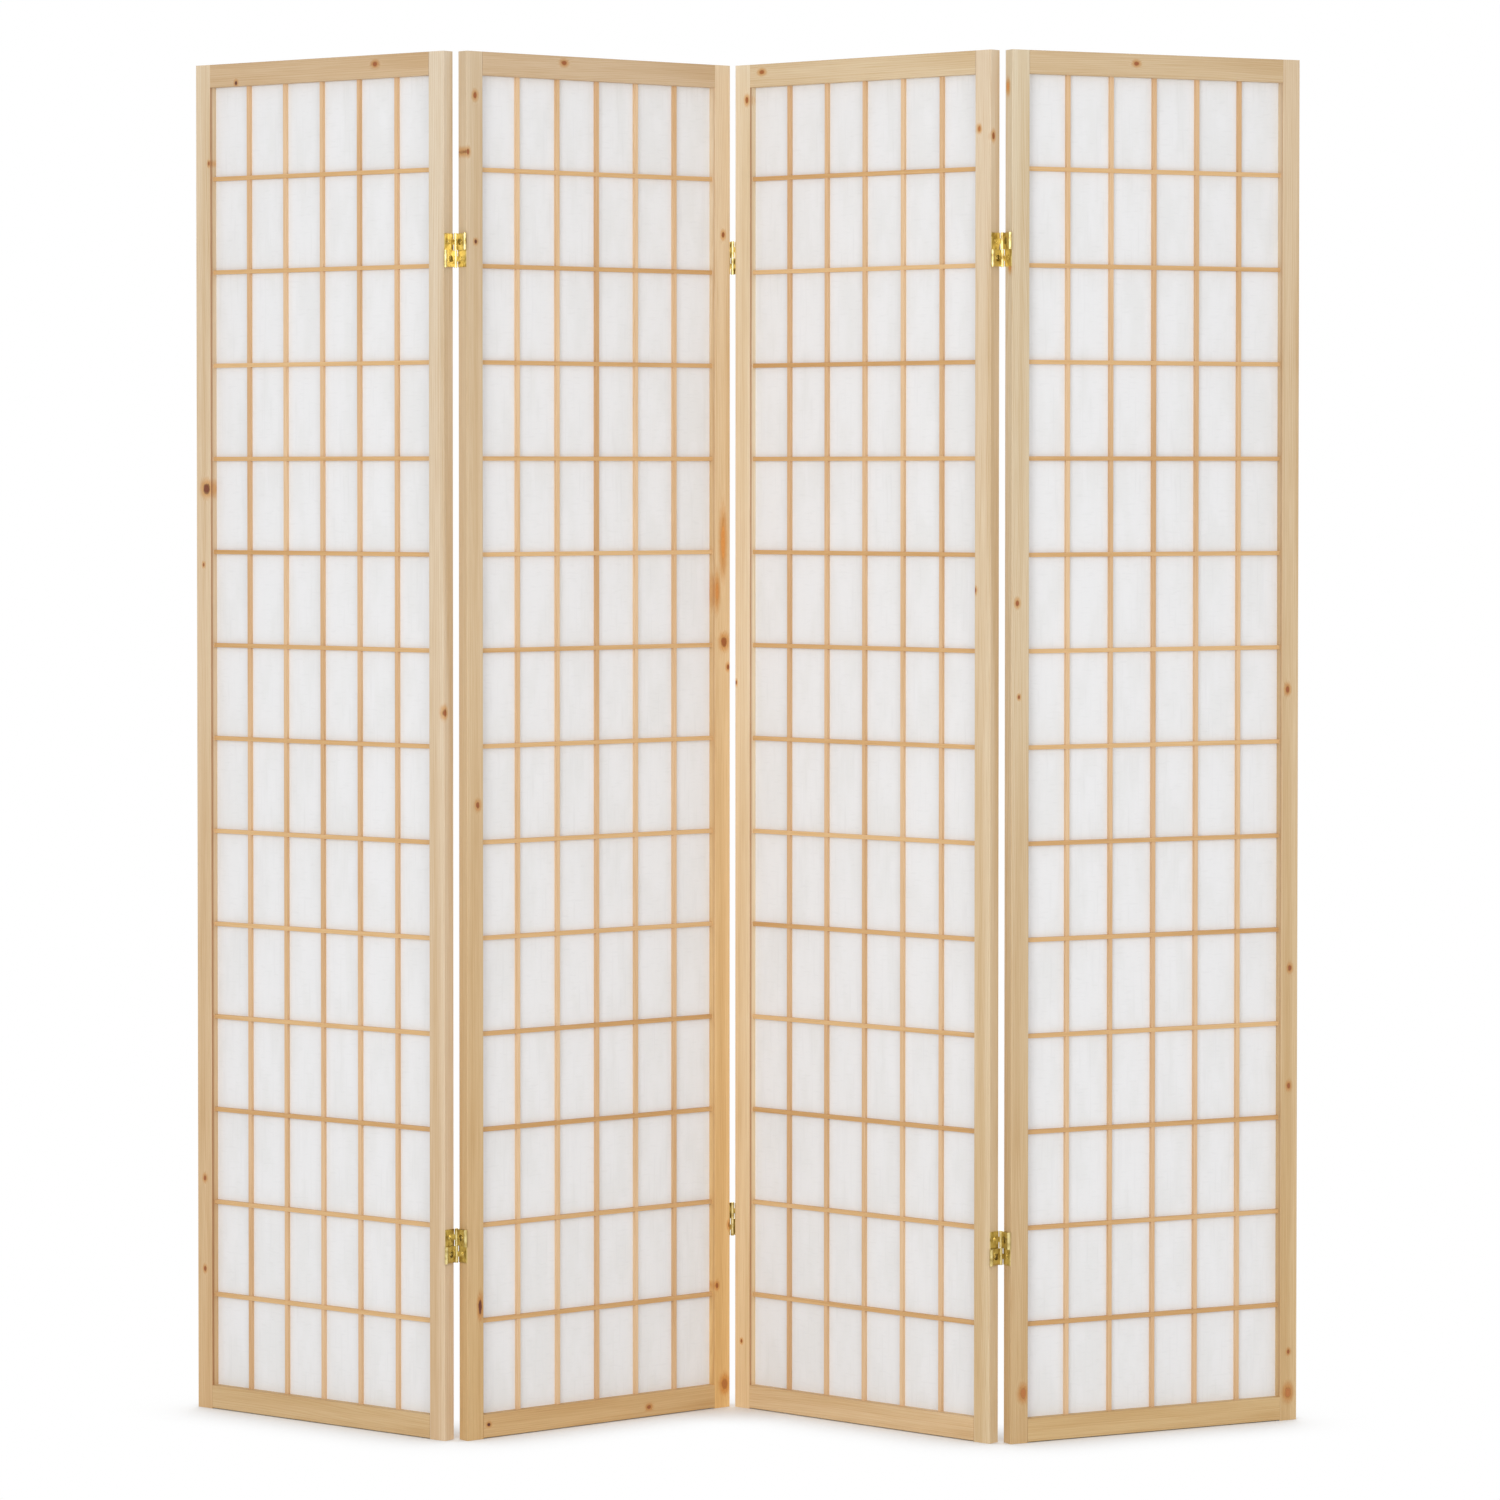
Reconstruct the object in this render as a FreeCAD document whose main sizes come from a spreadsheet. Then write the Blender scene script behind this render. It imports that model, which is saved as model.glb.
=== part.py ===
import FreeCAD, Part

import os

import Sketcher

# A folding screen of four equal panels. Each panel is a pine frame with a set-back lattice and
# a sheet of paper behind it. Neighbouring panels are joined by two double-action brass hinges,
# each with two leaves and a pair of crossed links.
#
# Frame of the part: +Z up, the floor at Z = 0, +Y away from the viewer.
# Frame of a panel: X along its width from its left edge, Y from its front face to its back
# face, Z up from the floor. At a joint the left panel folds on the right one about a back pin
# line or a front pin line, both midway between the two edges.

os.makedirs("parts", exist_ok=True)
doc = FreeCAD.newDocument("folding_screen")
sheet = doc.addObject("Spreadsheet::Sheet", "Sizes")

# Millimetres, degrees and counts.
SIZES = {
    # Frame
    "panel_height": 1780,
    "panel_width": 430,
    "panel_thickness": 18,
    "stile_width": 25.5,
    "rail_height": 30,
    "floor_gap": 1,
    "stile_round": 0.8,
    "rail_round": 0.8,
    # Dowels in the frame's corners
    "dowel_diameter": 6,
    "dowel_length": 32,
    "dowel_spacing": 14,
    "dowel_slack": 0.05,
    # Lattice and paper
    "uprights": 5,
    "crossbars": 13,
    "upright_width": 5.5,
    "crossbar_height": 5.5,
    "lattice_depth": 5.5,
    "upright_recess": 1,
    "lattice_setback": 6.2,
    "paper_thickness": 0.4,
    # Hinges
    "edge_gap": 7.5,
    "pin_standoff": 0.9,
    "pin_diameter": 2.4,
    "pin_head_diameter": 3.8,
    "pin_head_height": 0.6,
    "running_clearance": 0.08,
    "barrel_diameter": 4.6,
    "knuckle_gap": 0.2,
    "halves_gap": 0.4,
    "hinge_height": 43,
    "top_hinge_drop": 254,
    "bottom_hinge_rise": 250,
    "leaf_thickness": 1.1,
    "leaf_margin": 0.6,
    "link_thickness": 1.1,
    "link_window": 8.6,
    # Screws
    "screw_head_diameter": 6,
    "screw_shank_diameter": 3,
    "screw_length": 15,
    "screw_dome": 0.5,
    "screw_slot_width": 0.8,
    "screw_slot_length": 3.6,
    "screw_slot_depth": 0.9,
    "screw_slack": 0.05,
    # Pose in the photograph
    "fold_1_2": 76,
    "fold_2_3": 79.5,
    "fold_3_4": 67.5,
    "second_panel_turn": 38,
    "second_panel_across": -356.653,
    "second_panel_back": -127.704,
}
for row, (name, value) in enumerate(SIZES.items(), start=1):
    sheet.set("A%d" % row, name)
    sheet.set("B%d" % row, str(value))
    sheet.setAlias("B%d" % row, name)
doc.recompute()

# Lengths that several pieces share, written once as formulas of the sheet's values.
OPENING_WIDTH = "(Sizes.panel_width - 2 * Sizes.stile_width)"
BOTTOM_RAIL_TOP = "(Sizes.floor_gap + Sizes.rail_height)"
TOP_RAIL_BOTTOM = "(Sizes.panel_height - Sizes.rail_height)"
OPENING_HEIGHT = "(%s - %s)" % (TOP_RAIL_BOTTOM, BOTTOM_RAIL_TOP)
COLUMN_PITCH = "((%s + Sizes.upright_width) / (Sizes.uprights + 1))" % OPENING_WIDTH
ROW_PITCH = "((%s + Sizes.crossbar_height) / (Sizes.crossbars + 1))" % OPENING_HEIGHT
PAPER_FRONT = "(Sizes.lattice_setback + Sizes.lattice_depth)"
PIN_X = "(Sizes.edge_gap / 2)"
BACK_PIN_Y = "(Sizes.panel_thickness + Sizes.pin_standoff)"
FRONT_PIN_Y = "(-Sizes.pin_standoff)"
TOP_HINGE_Z = "(Sizes.panel_height - Sizes.top_hinge_drop)"
HINGE_SPACING = "(%s - Sizes.bottom_hinge_rise)" % TOP_HINGE_Z
HALF_HEIGHT = "((Sizes.hinge_height - Sizes.halves_gap) / 2)"
HALF_CENTRE = "((Sizes.hinge_height + Sizes.halves_gap) / 4)"
KNUCKLE_HEIGHT = "((%s - 2 * Sizes.knuckle_gap) / 3)" % HALF_HEIGHT
BORE_DIAMETER = "(Sizes.pin_diameter + 2 * Sizes.running_clearance)"

X_AXIS = FreeCAD.Vector(1, 0, 0)
Z_AXIS = FreeCAD.Vector(0, 0, 1)
nodes = []


# ---------------------------------------------------------------- helpers


def new_body(name, placement):
    """A body that becomes one node, placed by a formula."""
    body = doc.addObject("PartDesign::Body", name)
    body.Label = name
    body.setExpression("Placement", placement)
    nodes.append(body)
    return body


def origin_part(body, role):
    return next(part for part in body.Origin.OriginFeatures if part.Role == role)


def new_sketch(body, name, plane, lift=None):
    """A sketch on one of the body's own planes, lifted along that plane's normal."""
    sketch = body.newObject("Sketcher::SketchObject", name)
    sketch.AttachmentSupport = [(origin_part(body, plane), "")]
    sketch.MapMode = "FlatFace"
    if lift is not None:
        sketch.setExpression("AttachmentOffset.Base.z", lift)
    return sketch


def set_distance(sketch, kind, elements, formula):
    """A dimension between points of the sketch, bound to a formula."""
    index = sketch.addConstraint(Sketcher.Constraint(kind, *elements, 1.0))
    sketch.setExpression("Constraints[%d]" % index, formula)


def add_rectangle(sketch, left, low, width, height):
    """A rectangle whose corner and sides follow formulas, left and low from the origin."""
    start = sketch.GeometryCount
    far = start + 1.0
    corners = [FreeCAD.Vector(start, start, 0), FreeCAD.Vector(far, start, 0),
               FreeCAD.Vector(far, far, 0), FreeCAD.Vector(start, far, 0)]
    for side in range(4):
        sketch.addGeometry(Part.LineSegment(corners[side], corners[(side + 1) % 4]), False)
    for side in range(4):
        following = start + (side + 1) % 4
        sketch.addConstraint(Sketcher.Constraint("Coincident", start + side, 2, following, 1))
    for side, kind in enumerate(("Horizontal", "Vertical", "Horizontal", "Vertical")):
        sketch.addConstraint(Sketcher.Constraint(kind, start + side))
    set_distance(sketch, "DistanceX", (start, 1, start, 2), width)
    set_distance(sketch, "DistanceY", (start + 1, 1, start + 1, 2), height)
    set_distance(sketch, "DistanceX", (-1, 1, start, 1), left)
    set_distance(sketch, "DistanceY", (-1, 1, start, 1), low)


def add_circle(sketch, across, up, diameter):
    """A circle whose centre and diameter follow formulas."""
    index = sketch.GeometryCount
    centre = FreeCAD.Vector(index, index, 0)
    sketch.addGeometry(Part.Circle(centre, Z_AXIS, 1.0), False)
    set_distance(sketch, "DistanceX", (-1, 1, index, 3), across)
    set_distance(sketch, "DistanceY", (-1, 1, index, 3), up)
    radius = sketch.addConstraint(Sketcher.Constraint("Diameter", index, 2.0))
    sketch.setExpression("Constraints[%d]" % radius, diameter)


def pad(body, name, sketch, length, both_ways=False):
    feature = body.newObject("PartDesign::Pad", name)
    feature.Profile = sketch
    feature.setExpression("Length", length)
    feature.Midplane = both_ways
    body.Tip = feature
    return feature


def pocket(body, name, sketch, length, along_normal=False):
    """A cut into the body, against the sketch's normal unless along_normal is set."""
    feature = body.newObject("PartDesign::Pocket", name)
    feature.Profile = sketch
    feature.setExpression("Length", length)
    feature.Reversed = along_normal
    body.Tip = feature
    return feature


def choose_copied(pattern, features):
    """What a pattern copies: the given features, or the whole body when there are none."""
    if features:
        pattern.Originals = features
    else:
        pattern.TransformMode = "Whole shape"


def repeat(body, name, features, axis, spacing, copies):
    """Copies of some features, or of the whole body, at an even spacing along an axis."""
    if not features:
        doc.recompute()
    pattern = body.newObject("PartDesign::LinearPattern", name)
    choose_copied(pattern, features)
    pattern.Direction = (origin_part(body, axis), [""])
    pattern.Mode = "Spacing"
    pattern.setExpression("Offset", spacing)
    pattern.setExpression("Occurrences", copies)
    body.Tip = pattern
    return pattern


def mirror(body, name, features, plane):
    if not features:
        doc.recompute()
    feature = body.newObject("PartDesign::Mirrored", name)
    choose_copied(feature, features)
    feature.MirrorPlane = (origin_part(body, plane), [""])
    body.Tip = feature
    return feature


def round_long_edges(body, name, direction, radius):
    """Fillets on the straight outer edges that run the body's whole length."""
    doc.recompute()
    base = body.Tip
    box = base.Shape.BoundBox
    length = {"X": box.XLength, "Z": box.ZLength}[direction]
    along = {"X": X_AXIS, "Z": Z_AXIS}[direction]
    chosen = []
    for index, edge in enumerate(base.Shape.Edges, start=1):
        straight = edge.Curve.TypeId == "Part::GeomLine"
        if straight and abs(edge.Length - length) < 0.001:
            if abs(abs(edge.tangentAt(edge.FirstParameter).dot(along)) - 1) < 0.001:
                chosen.append("Edge%d" % index)
    fillet = body.newObject("PartDesign::Fillet", name)
    fillet.Base = (base, chosen)
    fillet.setExpression("Radius", radius)
    body.Tip = fillet


# ---------------------------------------------------------------- where the panels stand


def shift(across, back, up="0"):
    return "placement(vector(%s; %s; %s); rotation(vector(0; 0; 1); 0))" % (across, back, up)


def turn(angle):
    return "placement(vector(0; 0; 0); rotation(vector(0; 0; 1); %s))" % angle


def new_frame(panel, formula):
    frame = doc.addObject("App::Placement", "Panel_%d" % panel)
    frame.setExpression("Placement", formula)


LEFT_PIN = "-" + PIN_X
RIGHT_PIN = "(Sizes.panel_width + %s)" % PIN_X
new_frame(2, "%s * %s" % (shift("Sizes.second_panel_across", "Sizes.second_panel_back"),
                          turn("Sizes.second_panel_turn")))
# Panels 1 and 2 fold about their back pins, and so do panels 3 and 4.
new_frame(1, " * ".join(("Panel_2.Placement", shift(LEFT_PIN, BACK_PIN_Y),
                         turn("-Sizes.fold_1_2"), shift("-" + RIGHT_PIN, "-" + BACK_PIN_Y))))
# Panels 2 and 3 fold about their front pins.
new_frame(3, " * ".join(("Panel_2.Placement", shift(RIGHT_PIN, FRONT_PIN_Y),
                         turn("-Sizes.fold_2_3"), shift(PIN_X, "-" + FRONT_PIN_Y))))
new_frame(4, " * ".join(("Panel_3.Placement", shift(RIGHT_PIN, BACK_PIN_Y),
                         turn("Sizes.fold_3_4"), shift(PIN_X, "-" + BACK_PIN_Y))))


def in_panel(panel, *steps):
    """The formula that places a piece of a panel, through further steps in its frame."""
    return " * ".join(("Panel_%d.Placement" % panel,) + steps)


# ---------------------------------------------------------------- frame and lattice

DOWEL_BORE = "Sizes.dowel_diameter + 2 * Sizes.dowel_slack"


def add_dowel_bores(body, name, face, height, along_normal):
    """Two bores, one above the other, in an end face across X."""
    sketch = new_sketch(body, name + "_sketch", "YZ_Plane", face)
    for sign in ("-", "+"):
        level = "%s %s Sizes.dowel_spacing / 2" % (height, sign)
        add_circle(sketch, "Sizes.panel_thickness / 2", level, DOWEL_BORE)
    return pocket(body, name, sketch, "Sizes.dowel_length / 2", along_normal)


def add_stile(panel, side, hinged):
    """A stile with its outer edge face at X = 0 and its inner one towards the lattice."""
    name = "%s_stile_panel_%d" % (side, panel)
    if side == "left":
        place = in_panel(panel)
    else:
        place = in_panel(panel, shift("Sizes.panel_width", "Sizes.panel_thickness"), turn("180"))
    body = new_body(name, place)
    profile = new_sketch(body, "Section", "XY_Plane")
    add_rectangle(profile, "0", "0", "Sizes.stile_width", "Sizes.panel_thickness")
    pad(body, "Post", profile, "Sizes.panel_height")
    round_long_edges(body, "Rounded", "Z", "Sizes.stile_round")
    low = "Sizes.floor_gap + Sizes.rail_height / 2"
    high = "Sizes.panel_height - Sizes.rail_height / 2"
    add_dowel_bores(body, "Bottom_bores", "Sizes.stile_width", low, False)
    add_dowel_bores(body, "Top_bores", "Sizes.stile_width", high, False)
    if hinged:
        add_screw_bores(body)


def add_screw_bores(body):
    """Bores in the outer edge for the screws of the hinge leaves."""
    sketch = new_sketch(body, "Screw_bore_sketch", "YZ_Plane")
    for sign in ("-", "+"):
        level = "Sizes.bottom_hinge_rise %s %s" % (sign, HALF_CENTRE)
        bore = "Sizes.screw_shank_diameter + 2 * Sizes.screw_slack"
        add_circle(sketch, "Sizes.panel_thickness / 2", level, bore)
    depth = "Sizes.screw_length - Sizes.leaf_thickness"
    bores = pocket(body, "Screw_bores", sketch, depth, along_normal=True)
    repeat(body, "Both_hinges", [bores], "Z_Axis", HINGE_SPACING, "2")


def add_rail(panel, level):
    """A rail between the stiles, its middle at X = 0 and its underside at Z = 0."""
    if level == "top":
        base = TOP_RAIL_BOTTOM
    else:
        base = "Sizes.floor_gap"
    place = in_panel(panel, shift("Sizes.panel_width / 2", "0", base))
    body = new_body("%s_rail_panel_%d" % (level, panel), place)
    profile = new_sketch(body, "Section", "YZ_Plane")
    add_rectangle(profile, "0", "0", "Sizes.panel_thickness", "Sizes.rail_height")
    pad(body, "Rail", profile, OPENING_WIDTH, both_ways=True)
    round_long_edges(body, "Rounded", "X", "Sizes.rail_round")
    end = "%s / 2" % OPENING_WIDTH
    bores = add_dowel_bores(body, "End_bores", end, "Sizes.rail_height / 2", False)
    mirror(body, "Both_ends", [bores], "YZ_Plane")


def add_dowels(panel):
    """Eight dowels, half of each in a stile and half in a rail."""
    body = new_body("corner_dowels_panel_%d" % panel, in_panel(panel, shift(
        "Sizes.panel_width / 2", "Sizes.panel_thickness / 2", BOTTOM_RAIL_TOP)))
    centre = "%s / 2" % OPENING_WIDTH
    sketch = new_sketch(body, "Section", "YZ_Plane", centre)
    for sign in ("-", "+"):
        level = "-Sizes.rail_height / 2 %s Sizes.dowel_spacing / 2" % sign
        add_circle(sketch, "0", level, "Sizes.dowel_diameter")
    pad(body, "Dowels", sketch, "Sizes.dowel_length", both_ways=True)
    rise = "%s + Sizes.rail_height" % OPENING_HEIGHT
    repeat(body, "Top_corner", [], "Z_Axis", rise, "2")
    mirror(body, "Both_sides", [], "YZ_Plane")


def add_uprights(panel):
    """The lattice's uprights, a little behind the crossbars and notched where those run through."""
    body = new_body("lattice_uprights_panel_%d" % panel, in_panel(panel, shift(
        "Sizes.stile_width", "Sizes.lattice_setback + Sizes.upright_recess", BOTTOM_RAIL_TOP)))
    section = new_sketch(body, "Section", "XY_Plane")
    first = "%s - Sizes.upright_width" % COLUMN_PITCH
    depth = "Sizes.lattice_depth - Sizes.upright_recess"
    add_rectangle(section, first, "0", "Sizes.upright_width", depth)
    upright = pad(body, "Upright", section, OPENING_HEIGHT)
    repeat(body, "Row", [upright], "X_Axis", COLUMN_PITCH, "Sizes.uprights")
    notch = new_sketch(body, "Notch_sketch", "YZ_Plane")
    low = "%s - Sizes.crossbar_height" % ROW_PITCH
    notch_depth = "Sizes.lattice_depth / 2 - Sizes.upright_recess"
    add_rectangle(notch, "0", low, notch_depth, "Sizes.crossbar_height")
    notches = pocket(body, "Notches", notch, OPENING_WIDTH, along_normal=True)
    repeat(body, "All_notches", [notches], "Z_Axis", ROW_PITCH, "Sizes.crossbars")


def add_crossbars(panel):
    """The lattice's crossbars, notched at the back where the uprights pass."""
    body = new_body("lattice_crossbars_panel_%d" % panel, in_panel(panel, shift(
        "Sizes.stile_width", "Sizes.lattice_setback", BOTTOM_RAIL_TOP)))
    section = new_sketch(body, "Section", "YZ_Plane")
    low = "%s - Sizes.crossbar_height" % ROW_PITCH
    add_rectangle(section, "0", low, "Sizes.lattice_depth", "Sizes.crossbar_height")
    bar = pad(body, "Crossbar", section, OPENING_WIDTH)
    repeat(body, "Stack", [bar], "Z_Axis", ROW_PITCH, "Sizes.crossbars")
    notch = new_sketch(body, "Notch_sketch", "XY_Plane")
    first = "%s - Sizes.upright_width" % COLUMN_PITCH
    add_rectangle(notch, first, "Sizes.lattice_depth / 2", "Sizes.upright_width",
                  "Sizes.lattice_depth / 2")
    notches = pocket(body, "Notches", notch, OPENING_HEIGHT, along_normal=True)
    repeat(body, "All_notches", [notches], "X_Axis", COLUMN_PITCH, "Sizes.uprights")


def add_paper(panel):
    """The paper, against the lattice's back, filling the frame's opening."""
    body = new_body("paper_sheet_panel_%d" % panel, in_panel(panel, shift(
        "Sizes.stile_width", PAPER_FRONT, BOTTOM_RAIL_TOP)))
    section = new_sketch(body, "Section", "XY_Plane")
    add_rectangle(section, "0", "0", OPENING_WIDTH, "Sizes.paper_thickness")
    pad(body, "Paper", section, OPENING_HEIGHT)


# ---------------------------------------------------------------- hinges
#
# A hinge is made in a frame with Z = 0 at its middle height. Its upper link joins the left
# panel's back pin to the right panel's front pin, and its lower link joins the left panel's
# front pin to the right panel's back pin. Every pin stands midway between the panels' edges.


def hinge_place(panel, side):
    """The frame of the low hinge on one edge of a panel, X towards the neighbour."""
    if side == "right":
        return in_panel(panel, shift("Sizes.panel_width", "0", "Sizes.bottom_hinge_rise"))
    return in_panel(panel, shift("0", "Sizes.panel_thickness", "Sizes.bottom_hinge_rise"),
                    turn("180"))


def add_barrel(body, name, pin_y, low, height):
    """A closed barrel about a pin line, from one level upwards."""
    sketch = new_sketch(body, name + "_sketch", "XY_Plane", low)
    add_circle(sketch, PIN_X, pin_y, "Sizes.barrel_diameter")
    return pad(body, name, sketch, height)


def add_bore(body, name, pin_y, low, height):
    sketch = new_sketch(body, name + "_sketch", "XY_Plane", low)
    add_circle(sketch, PIN_X, pin_y, BORE_DIAMETER)
    return pocket(body, name, sketch, height, along_normal=True)


def both_hinges(body):
    repeat(body, "Low_and_high", [], "Z_Axis", HINGE_SPACING, "2")


def add_leaf(panel, side):
    """The two leaves on one edge: a plate with a knuckle at each corner.

    On a panel's right edge the upper knuckle is at the back and the lower one at the front.
    The left edge's frame is turned half round, so there the upper one is at the front.
    """
    body = new_body("%s_leaf_panel_%d" % (side, panel), hinge_place(panel, side))
    plate = new_sketch(body, "Plate_section", "XY_Plane")
    depth = "Sizes.panel_thickness - 2 * Sizes.leaf_margin"
    add_rectangle(plate, "0", "Sizes.leaf_margin", "Sizes.leaf_thickness", depth)
    pad(body, "Plate", plate, "Sizes.hinge_height", both_ways=True)
    inner = "(Sizes.barrel_diameter / 2 - Sizes.leaf_thickness)"
    upper = "%s - %s / 2" % (HALF_CENTRE, KNUCKLE_HEIGHT)
    lower = "-%s - %s / 2" % (HALF_CENTRE, KNUCKLE_HEIGHT)
    webs = {"Upper": (upper, BACK_PIN_Y, "%s - Sizes.barrel_diameter / 2" % BACK_PIN_Y),
            "Lower": (lower, FRONT_PIN_Y, "%s + %s" % (FRONT_PIN_Y, inner))}
    for name, (low, pin_y, web_y) in webs.items():
        web = new_sketch(body, name + "_web_section", "XY_Plane", low)
        add_rectangle(web, "0", web_y, PIN_X, "Sizes.leaf_thickness")
        pad(body, name + "_web", web, KNUCKLE_HEIGHT)
        add_barrel(body, name + "_knuckle", pin_y, low, KNUCKLE_HEIGHT)
        add_bore(body, name + "_bore", pin_y, low, KNUCKLE_HEIGHT)
    add_countersinks(body)
    both_hinges(body)


def add_countersinks(body):
    """A countersunk hole through the plate in each half."""
    for name, sign in (("Upper", ""), ("Lower", "-")):
        cone = new_sketch(body, name + "_countersink_section", "XZ_Plane",
                          "-Sizes.panel_thickness / 2")
        add_half_section(cone, "%s%s" % (sign, HALF_CENTRE), "Sizes.screw_slack")
        groove = body.newObject("PartDesign::Groove", name + "_countersink")
        groove.Profile = cone
        groove.ReferenceAxis = (cone, ["Axis0"])
        groove.Angle = 360
        body.Tip = groove


def add_half_section(sketch, centre_z, slack):
    """Half of a countersink's section: a slope from the narrow wood side to the wide outer side.

    The sketch's first axis is X and its second is Z. A construction line is the turning axis.
    """
    line = sketch.GeometryCount
    points = [FreeCAD.Vector(0, 0, 0), FreeCAD.Vector(0, 2, 0),
              FreeCAD.Vector(1, 3, 0), FreeCAD.Vector(1, 0, 0)]
    for side in range(4):
        sketch.addGeometry(Part.LineSegment(points[side], points[(side + 1) % 4]), False)
    for side in range(4):
        following = line + (side + 1) % 4
        sketch.addConstraint(Sketcher.Constraint("Coincident", line + side, 2, following, 1))
    sketch.addConstraint(Sketcher.Constraint("Vertical", line))
    sketch.addConstraint(Sketcher.Constraint("Vertical", line + 2))
    sketch.addConstraint(Sketcher.Constraint("Horizontal", line + 3))
    axis = sketch.addGeometry(Part.LineSegment(points[0], points[3]), True)
    sketch.addConstraint(Sketcher.Constraint("Coincident", axis, 1, line, 1))
    sketch.addConstraint(Sketcher.Constraint("Coincident", axis, 2, line + 2, 2))
    wide = "Sizes.screw_head_diameter / 2 + %s" % slack
    narrow = "Sizes.screw_shank_diameter / 2 + %s" % slack
    set_distance(sketch, "DistanceX", (line, 1, line + 2, 2), "Sizes.leaf_thickness")
    set_distance(sketch, "DistanceY", (line, 1, line, 2), narrow)
    set_distance(sketch, "DistanceY", (line + 2, 2, line + 2, 1), wide)
    set_distance(sketch, "DistanceX", (-1, 1, line, 1), "0")
    set_distance(sketch, "DistanceY", (-1, 1, line, 1), centre_z)


def add_link(joint, half, owner):
    """One half's link at both hinges of a joint, carried by the panel called owner.

    A plate on the pins' own plane, with a barrel at each corner, open at the middle knuckle
    of each leaf, and a window over the leaves' screws.
    """
    name = "%s_link_joint_%d_%d" % (half, joint, joint + 1)
    if owner == joint:
        place = hinge_place(owner, "right")
    else:
        place = in_panel(owner, shift("-Sizes.edge_gap", "0", "Sizes.bottom_hinge_rise"))
    body = new_body(name, place)
    middle = HALF_CENTRE if half == "upper" else "(-%s)" % HALF_CENTRE
    low = "%s - %s / 2" % (middle, HALF_HEIGHT)
    plate = new_sketch(body, "Plate_section", "XY_Plane", low)
    left = "%s - Sizes.link_thickness / 2" % PIN_X
    span = "%s - %s" % (BACK_PIN_Y, FRONT_PIN_Y)
    add_rectangle(plate, left, FRONT_PIN_Y, "Sizes.link_thickness", span)
    pad(body, "Plate", plate, HALF_HEIGHT)
    for end, pin_y in (("Front", FRONT_PIN_Y), ("Back", BACK_PIN_Y)):
        add_barrel(body, end + "_barrel", pin_y, low, HALF_HEIGHT)
    for end, pin_y in (("Front", FRONT_PIN_Y), ("Back", BACK_PIN_Y)):
        add_bore(body, end + "_bore", pin_y, low, HALF_HEIGHT)
        opening = new_sketch(body, end + "_opening_section", "XY_Plane",
                             "%s - %s / 2 - Sizes.knuckle_gap" % (middle, KNUCKLE_HEIGHT))
        reach = "(Sizes.barrel_diameter + 2 * Sizes.halves_gap)"
        add_rectangle(opening, "%s - %s / 2" % (PIN_X, reach), "%s - %s / 2" % (pin_y, reach),
                      reach, reach)
        pocket(body, end + "_opening", opening, "%s + 2 * Sizes.knuckle_gap" % KNUCKLE_HEIGHT,
               along_normal=True)
    window = new_sketch(body, "Window_section", "YZ_Plane")
    add_circle(window, "Sizes.panel_thickness / 2", middle, "Sizes.link_window")
    pocket(body, "Window", window, "Sizes.edge_gap", along_normal=True)
    both_hinges(body)


def add_pins(panel, sides):
    """The panel's own hinge pins: the back one above and the front one below on its right."""
    body = new_body("hinge_pins_panel_%d" % panel,
                    in_panel(panel, shift("0", "0", "Sizes.bottom_hinge_rise")))
    spots = {"right": (RIGHT_PIN, BACK_PIN_Y, FRONT_PIN_Y),
             "left": (LEFT_PIN, FRONT_PIN_Y, BACK_PIN_Y)}
    outer = "Sizes.hinge_height / 2"
    inner = "Sizes.halves_gap / 2"
    levels = {"Upper": (inner, outer), "Lower": ("-%s" % outer, "-%s" % outer)}
    for side in sides:
        across, above_y, below_y = spots[side]
        for half, back in (("Upper", above_y), ("Lower", below_y)):
            low, head_from = levels[half]
            name = "%s_%s" % (side.capitalize(), half.lower())
            rod = new_sketch(body, name + "_section", "XY_Plane", low)
            add_circle(rod, across, back, "Sizes.pin_diameter")
            pad(body, name + "_pin", rod, HALF_HEIGHT)
            head = new_sketch(body, name + "_head_section", "XY_Plane", head_from)
            add_circle(head, across, back, "Sizes.pin_head_diameter")
            cap = pad(body, name + "_head", head, "Sizes.pin_head_height")
            cap.Reversed = half == "Lower"
    both_hinges(body)


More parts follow.
